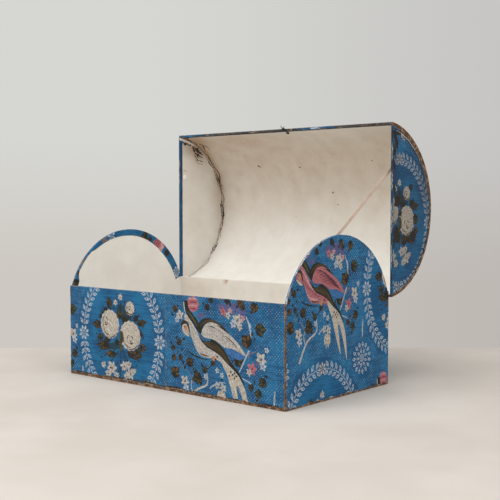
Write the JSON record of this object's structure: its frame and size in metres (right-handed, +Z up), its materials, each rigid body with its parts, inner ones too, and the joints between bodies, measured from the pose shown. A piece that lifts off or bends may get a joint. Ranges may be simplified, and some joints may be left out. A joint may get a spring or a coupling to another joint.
{
  "type": "dome top box",
  "caption": "Pasteboard keepsake box with arched ends and a hinged half-round lid, covered in blue printed wallpaper and lined in cream paper, shown open.",
  "frame": {"origin": "centre of the underside of the base", "axes": "+X along the box to the right, -Y to the front, +Z up"},
  "size_m": [0.4092, 0.3382, 0.3652],
  "materials": {
    "pasteboard": "raw brown board",
    "printed_paper": "block-printed distemper on blue ground",
    "lining_paper": "plain cream laid paper",
    "brown_paper": "plain brown paper",
    "hinge_cloth": "thin blue-grey linen",
    "ribbon": "faded silk ribbon",
    "black_thread": "waxed thread"
  },
  "bodies": {
    "base": {"base_back_board": "pasteboard", "base_back_lining": "lining_paper", "base_back_paper": "printed_paper", "base_bottom_board": "pasteboard", "base_floor_lining": "lining_paper", "base_front_bird_paper": "printed_paper", "base_front_board": "pasteboard", "base_front_lining": "lining_paper", "base_front_rose_paper": "printed_paper", "base_left_arch_fold": "printed_paper", "base_left_end_board": "pasteboard", "base_left_end_lining": "lining_paper", "base_left_end_paper": "printed_paper", "base_right_arch_fold": "printed_paper", "base_right_end_board": "pasteboard", "base_right_end_lining": "lining_paper", "base_right_end_paper": "printed_paper", "base_under_paper": "brown_paper", "hinge_base_leaf": "hinge_cloth", "stay_base_patch": "lining_paper", "stay_ribbon": "ribbon"},
    "lid": {"hinge_lid_leaf": "hinge_cloth", "lid_dome_board": "pasteboard", "lid_dome_left_paper": "printed_paper", "lid_dome_lining": "lining_paper", "lid_dome_right_paper": "printed_paper", "lid_front_fold": "printed_paper", "lid_left_end_board": "pasteboard", "lid_left_end_fold": "printed_paper", "lid_left_end_lining": "lining_paper", "lid_left_end_paper": "printed_paper", "lid_right_end_board": "pasteboard", "lid_right_end_fold": "printed_paper", "lid_right_end_lining": "lining_paper", "lid_right_end_paper": "printed_paper", "lid_thread_tie": "black_thread", "stay_lid_patch": "lining_paper"}
  },
  "joints": [
    {"name": "lid_hinge", "type": "hinge", "parent": "base", "child": "lid", "pos_m": [0, 0.1159, 0.1243], "axis": [1, 0, 0], "range_deg": [0, 90], "deforming": ["stay_ribbon"]}
  ]
}
